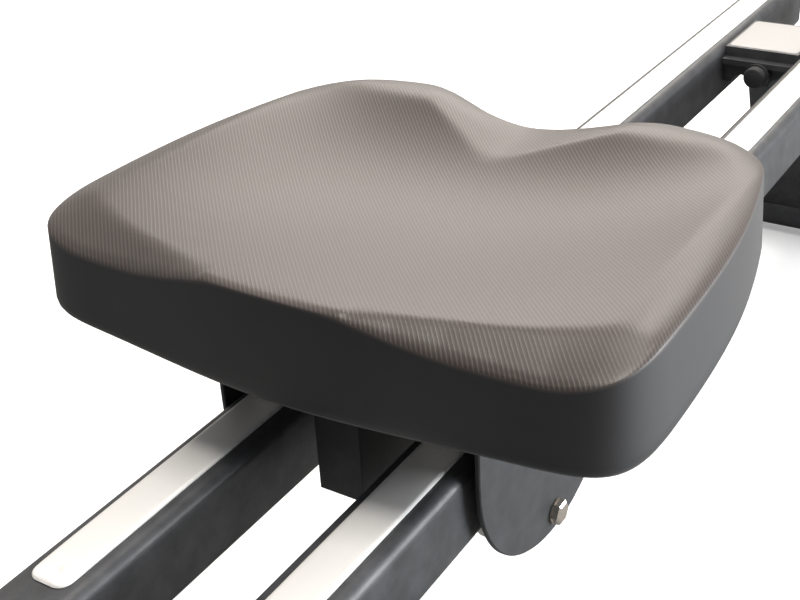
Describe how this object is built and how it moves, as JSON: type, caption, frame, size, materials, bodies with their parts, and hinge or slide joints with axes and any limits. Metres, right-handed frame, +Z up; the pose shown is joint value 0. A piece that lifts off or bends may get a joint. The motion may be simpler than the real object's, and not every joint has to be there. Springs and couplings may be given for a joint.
{
  "type": "rowing machine",
  "caption": "Twin-rail water rowing machine: rolling moulded seat, inclined foot stretcher, round water tank, pull handle on a webbing belt and tilting monitor.",
  "frame": {"origin": "on the floor, under the middle of the machine", "axes": "+X towards the water tank (front), +Y to the left of a seated rower, +Z up"},
  "size_m": [1.956, 0.508, 0.7855],
  "materials": {
    "black_frame": "fine textured powder coat, satin black",
    "grey_frame": "fine textured powder coat, light grey where the light catches it",
    "stainless_strip": "satin stainless steel",
    "zinc_bolt": "bright plated steel",
    "seat_foam": "moulded foam skin with a fine diamond texture",
    "black_plastic": "moulded, fine grain",
    "black_rubber": "matte rubber",
    "white_nylon": "satin nylon",
    "clear_tank": "clear polycarbonate",
    "tank_water": "still water",
    "black_webbing": "woven webbing",
    "monitor_glass": "dark display window"
  },
  "bodies": {
    "frame": {"rail_left": "black_frame", "rail_right": "black_frame", "running_strip_left": "stainless_strip", "running_strip_right": "stainless_strip", "rear_end_cap_left": "black_plastic", "rear_end_cap_right": "black_plastic", "rear_stand": "black_frame", "front_stand": "black_frame", "rear_foot_pad_left": "black_rubber", "rear_foot_pad_right": "black_rubber", "front_foot_pad_left": "black_rubber", "front_foot_pad_right": "black_rubber", "rear_cross_block": "grey_frame", "tank_bowl": "clear_tank", "tank_lid": "clear_tank", "fill_plug": "black_rubber", "water": "tank_water", "tank_cradle": "black_frame", "bridge_beam": "black_frame", "front_post": "black_frame", "drum_bracket": "black_frame", "deck_cover": "black_plastic", "foot_plate_left": "black_plastic", "foot_plate_right": "black_plastic", "foot_strap_left": "black_webbing", "foot_strap_right": "black_webbing", "stretcher_bracket": "black_frame", "monitor_mast": "black_frame"},
    "seat": {"seat_pad": "seat_foam", "seat_base": "black_plastic", "carriage_frame": "black_frame", "side_plate_left": "black_frame", "side_plate_right": "black_frame", "hold_down_bolt_left": "zinc_bolt", "hold_down_bolt_right": "zinc_bolt", "front_axle": "zinc_bolt", "rear_axle": "zinc_bolt"},
    "handle": {"handle_bar": "stainless_strip", "handle_grip_left": "black_rubber", "handle_grip_right": "black_rubber", "handle_clamp": "black_plastic", "pull_belt": "black_webbing"},
    "belt_drum": {"belt_drum": "black_plastic"},
    "drive_shaft": {"drive_shaft": "stainless_strip"},
    "impeller": {"impeller": "black_plastic"},
    "monitor": {"monitor_body": "black_plastic", "monitor_screen": "monitor_glass"},
    "monitor_button_1": {"monitor_button_1": "black_rubber"},
    "monitor_button_2": {"monitor_button_2": "black_rubber"},
    "heel_cup_left": {"heel_cup_left": "black_rubber"},
    "heel_cup_right": {"heel_cup_right": "black_rubber"},
    "transport_wheel_left": {"transport_wheel_left": "black_rubber"},
    "transport_wheel_right": {"transport_wheel_right": "black_rubber"},
    "front_roller_left": {"front_roller_left": "white_nylon"},
    "front_roller_right": {"front_roller_right": "white_nylon"},
    "rear_roller_left": {"rear_roller_left": "white_nylon"},
    "rear_roller_right": {"rear_roller_right": "white_nylon"},
    "hold_down_roller_left": {"hold_down_roller_left": "white_nylon"},
    "hold_down_roller_right": {"hold_down_roller_right": "white_nylon"}
  },
  "joints": [
    {"name": "seat_slide", "type": "slide", "parent": "frame", "child": "seat", "axis": [1, 0, 0], "range_m": [-0.585, 0.13]},
    {"name": "front_roller_left_spin", "type": "hinge", "parent": "seat", "child": "front_roller_left", "pos_m": [-0.063, 0.053, 0.3163], "axis": [0, 1, 0], "continuous": true},
    {"name": "front_roller_right_spin", "type": "hinge", "parent": "seat", "child": "front_roller_right", "pos_m": [-0.063, -0.053, 0.3163], "axis": [0, 1, 0], "continuous": true},
    {"name": "rear_roller_left_spin", "type": "hinge", "parent": "seat", "child": "rear_roller_left", "pos_m": [-0.187, 0.053, 0.3163], "axis": [0, 1, 0], "continuous": true},
    {"name": "rear_roller_right_spin", "type": "hinge", "parent": "seat", "child": "rear_roller_right", "pos_m": [-0.187, -0.053, 0.3163], "axis": [0, 1, 0], "continuous": true},
    {"name": "hold_down_roller_left_spin", "type": "hinge", "parent": "seat", "child": "hold_down_roller_left", "pos_m": [-0.125, 0.053, 0.219], "axis": [0, 1, 0], "continuous": true},
    {"name": "hold_down_roller_right_spin", "type": "hinge", "parent": "seat", "child": "hold_down_roller_right", "pos_m": [-0.125, -0.053, 0.219], "axis": [0, 1, 0], "continuous": true},
    {"name": "handle_pull", "type": "slide", "parent": "frame", "child": "handle", "axis": [-1, 0, 0], "range_m": [0, 0.45], "stiffness_N_per_m": 15, "springref_m": -1},
    {"name": "belt_drum_spin", "type": "hinge", "parent": "frame", "child": "belt_drum", "pos_m": [0.64, 0, 0.563], "axis": [0, 1, 0], "continuous": true},
    {"name": "drive_shaft_spin", "type": "hinge", "parent": "frame", "child": "drive_shaft", "pos_m": [0.64, 0, 0.45], "axis": [0, 0, 1], "continuous": true},
    {"name": "impeller_spin", "type": "hinge", "parent": "drive_shaft", "child": "impeller", "pos_m": [0.64, 0, 0.355], "axis": [0, 0, 1], "continuous": true},
    {"name": "monitor_tilt", "type": "hinge", "parent": "frame", "child": "monitor", "pos_m": [0.51479, 0, 0.71308], "axis": [0, 1, 0], "range_deg": [-15, 20]},
    {"name": "monitor_button_1_press", "type": "slide", "parent": "monitor", "child": "monitor_button_1", "axis": [0.8829, 0, -0.4695], "range_m": [0, 0.0015], "stiffness_N_per_m": 400},
    {"name": "monitor_button_2_press", "type": "slide", "parent": "monitor", "child": "monitor_button_2", "axis": [0.8829, 0, -0.4695], "range_m": [0, 0.0015], "stiffness_N_per_m": 400},
    {"name": "heel_cup_left_slide", "type": "slide", "parent": "frame", "child": "heel_cup_left", "axis": [0.682, 0, 0.7314], "range_m": [0, 0.06]},
    {"name": "heel_cup_right_slide", "type": "slide", "parent": "frame", "child": "heel_cup_right", "axis": [0.682, 0, 0.7314], "range_m": [0, 0.06]},
    {"name": "transport_wheel_left_spin", "type": "hinge", "parent": "frame", "child": "transport_wheel_left", "pos_m": [0.944, 0.17, 0.038], "axis": [0, 1, 0], "continuous": true},
    {"name": "transport_wheel_right_spin", "type": "hinge", "parent": "frame", "child": "transport_wheel_right", "pos_m": [0.944, -0.17, 0.038], "axis": [0, 1, 0], "continuous": true}
  ],
  "couplings": [
    {"joint": "front_roller_left_spin", "follows": "seat_slide", "rad_per_m": 61.35},
    {"joint": "front_roller_right_spin", "follows": "seat_slide", "rad_per_m": 61.35},
    {"joint": "rear_roller_left_spin", "follows": "seat_slide", "rad_per_m": 61.35},
    {"joint": "rear_roller_right_spin", "follows": "seat_slide", "rad_per_m": 61.35},
    {"joint": "hold_down_roller_left_spin", "follows": "seat_slide", "rad_per_m": -34.843},
    {"joint": "hold_down_roller_right_spin", "follows": "seat_slide", "rad_per_m": -34.843},
    {"joint": "belt_drum_spin", "follows": "handle_pull", "rad_per_m": -40},
    {"joint": "drive_shaft_spin", "follows": "handle_pull", "rad_per_m": -40}
  ]
}
